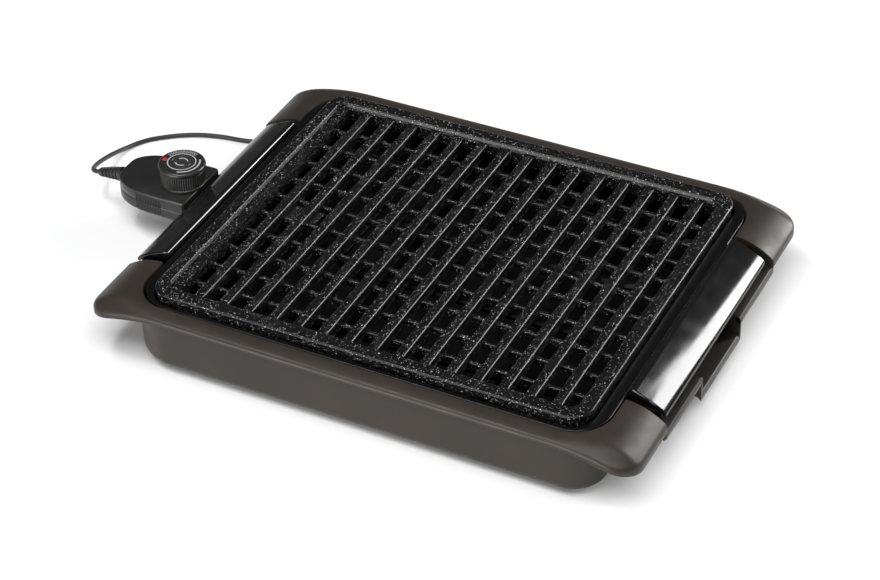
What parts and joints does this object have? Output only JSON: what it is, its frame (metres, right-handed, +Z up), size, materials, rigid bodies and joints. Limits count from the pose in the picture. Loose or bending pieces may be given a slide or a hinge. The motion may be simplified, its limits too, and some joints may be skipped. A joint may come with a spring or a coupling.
{
  "type": "electric griddle",
  "caption": "Table-top electric griddle: a slotted cast plate in a black frame with two side handles, on a moulded base with a drip tray, with a plug-in dial control and its mains lead.",
  "frame": {"origin": "on the table top, at the middle of the griddle's outline with its control plugged in and the lead left out", "axes": "+X to the right along the long side, away from the control; +Y to the back; +Z up"},
  "size_m": [0.5423, 0.3798, 0.0623],
  "materials": {
    "bronze_plastic": "moulded, satin dark bronze, fine grain",
    "black_gloss": "moulded, high gloss",
    "black_satin": "moulded, satin",
    "cast_coating": "cast aluminium under a black non-stick coating with fine pale specks, semi-gloss",
    "cord_rubber": "matt black",
    "foot_rubber": "matt black",
    "steel": "plated",
    "dark_steel": "darkened by heat",
    "aluminium": "pressed sheet",
    "element_sheath": "oxidised sheath",
    "brass": "bright",
    "ceramic": "unglazed, dark grey",
    "badge_grey": "dark disc with a pale printed ring",
    "tray_coating": "black coating on pressed steel sheet"
  },
  "bodies": {
    "base": {"base_pan": "bronze_plastic", "foot_back_left": "foot_rubber", "foot_back_right": "foot_rubber", "foot_front_left": "foot_rubber", "foot_front_right": "foot_rubber"},
    "tray": {"drip_tray": "tray_coating"},
    "frame": {"block_screw_back": "dark_steel", "block_screw_front": "dark_steel", "bracket_screw_1_back": "dark_steel", "bracket_screw_1_front": "dark_steel", "bracket_screw_2_back": "dark_steel", "bracket_screw_2_front": "dark_steel", "element_bracket_1": "dark_steel", "element_bracket_2": "dark_steel", "grip_screw_left_back": "steel", "grip_screw_left_front": "steel", "grip_screw_right_back": "steel", "grip_screw_right_front": "steel", "handle_grip_left": "black_gloss", "handle_grip_right": "black_gloss", "heating_element": "element_sheath", "support_frame": "black_gloss", "terminal_block": "ceramic", "terminal_pin_back": "brass", "terminal_pin_front": "brass"},
    "plate": {"grill_plate": "cast_coating"},
    "control": {"bimetal_blade": "brass", "contact_socket_back": "brass", "contact_socket_front": "brass", "contact_spring": "brass", "control_housing_lower": "black_satin", "control_housing_upper": "black_satin", "cord_coil": "cord_rubber", "cord_run": "cord_rubber", "cord_tail": "cord_rubber", "cord_tie": "cord_rubber", "housing_screw_1": "steel", "housing_screw_2": "steel", "housing_screw_3": "steel", "housing_screw_4": "steel", "lead_live": "cord_rubber", "lead_neutral": "cord_rubber", "nose_block": "black_satin", "plug_blade_back": "brass", "plug_blade_front": "brass", "plug_body": "cord_rubber", "sensor_rod": "aluminium", "strain_relief": "cord_rubber", "switch_base": "ceramic"},
    "dial": {"dial_badge": "badge_grey", "dial_knob": "black_satin", "dial_shaft": "steel"}
  },
  "joints": [
    {"name": "tray_lift", "type": "slide", "parent": "base", "child": "tray", "axis": [0, 0, 1], "range_m": [0, 0.1]},
    {"name": "frame_lift", "type": "slide", "parent": "tray", "child": "frame", "axis": [0, 0, 1], "range_m": [0, 0.1]},
    {"name": "plate_lift", "type": "slide", "parent": "frame", "child": "plate", "axis": [0, 0, 1], "range_m": [0, 0.1]},
    {"name": "control_pull", "type": "slide", "parent": "frame", "child": "control", "axis": [-1, 0, 0], "range_m": [0, 0.1]},
    {"name": "dial_turn", "type": "hinge", "parent": "control", "child": "dial", "pos_m": [-0.1945, 0, 0.053], "axis": [0, 0, 1], "range_deg": [-270, 0]}
  ]
}
